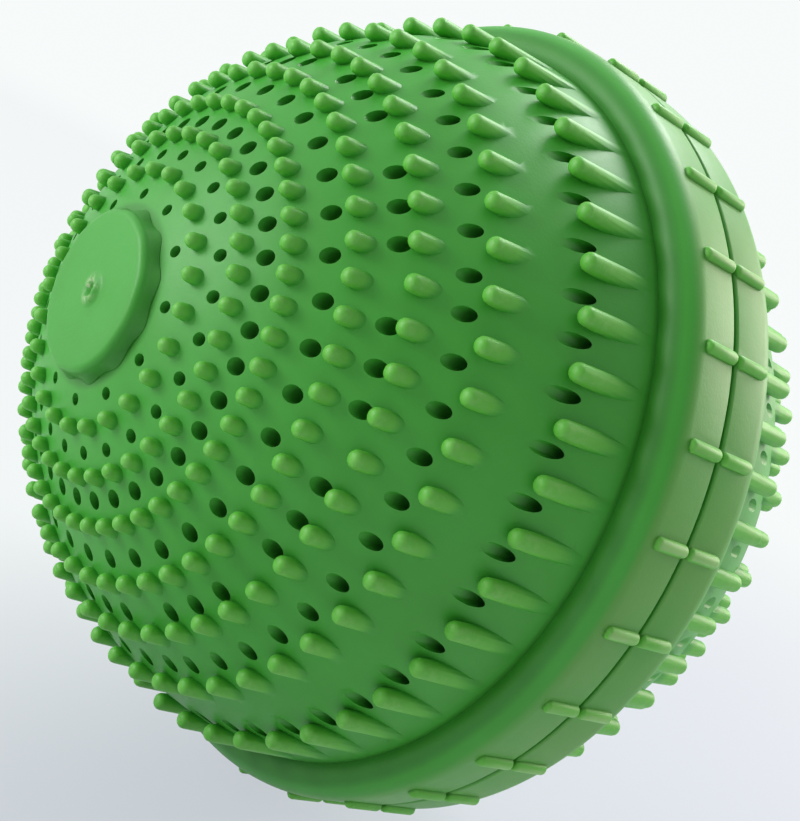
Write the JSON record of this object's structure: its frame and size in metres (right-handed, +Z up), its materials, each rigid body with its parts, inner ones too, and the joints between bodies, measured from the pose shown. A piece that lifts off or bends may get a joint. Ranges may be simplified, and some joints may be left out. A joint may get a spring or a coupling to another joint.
{
  "type": "laundry ball",
  "caption": "Green plastic laundry ball of pegged, perforated half shells with a ribbed rim, a turning cap at each pole and loose ceramic beads inside.",
  "frame": {"origin": "centre of the ball", "axes": "+Y along the ball's axis from the front half to the rear half, +Z up, the seam in the XZ plane"},
  "size_m": [0.1054, 0.0992, 0.105],
  "materials": {
    "green_plastic": "satin moulded",
    "cream_ceramic": "matt"
  },
  "bodies": {
    "rear_half": {"rear_shell": "green_plastic"},
    "front_half": {"front_shell": "green_plastic"},
    "front_filler": {"front_cap": "green_plastic"},
    "rear_filler": {"rear_cap": "green_plastic"},
    "bead_bed": {"bead_01": "cream_ceramic", "bead_02": "cream_ceramic", "bead_03": "cream_ceramic", "bead_04": "cream_ceramic", "bead_05": "cream_ceramic", "bead_06": "cream_ceramic", "bead_07": "cream_ceramic", "bead_08": "cream_ceramic", "bead_09": "cream_ceramic", "bead_10": "cream_ceramic", "bead_11": "cream_ceramic", "bead_12": "cream_ceramic", "bead_13": "cream_ceramic", "bead_14": "cream_ceramic", "bead_15": "cream_ceramic", "bead_16": "cream_ceramic", "bead_17": "cream_ceramic", "bead_18": "cream_ceramic", "bead_19": "cream_ceramic"}
  },
  "joints": [
    {"name": "open_halves", "type": "slide", "parent": "rear_half", "child": "front_half", "axis": [0, -1, 0], "range_m": [0, 0.08]},
    {"name": "front_cap_turn", "type": "hinge", "parent": "front_half", "child": "front_filler", "pos_m": [0, -0.0476, 0], "axis": [0, -1, 0], "range_deg": [0, 90]},
    {"name": "rear_cap_turn", "type": "hinge", "parent": "rear_half", "child": "rear_filler", "pos_m": [0, 0.0476, 0], "axis": [0, 1, 0], "range_deg": [0, 90]},
    {"name": "bead_tumble", "type": "hinge", "parent": "rear_half", "child": "bead_bed", "pos_m": [0, 0, 0], "axis": [0, 1, 0], "continuous": true}
  ]
}
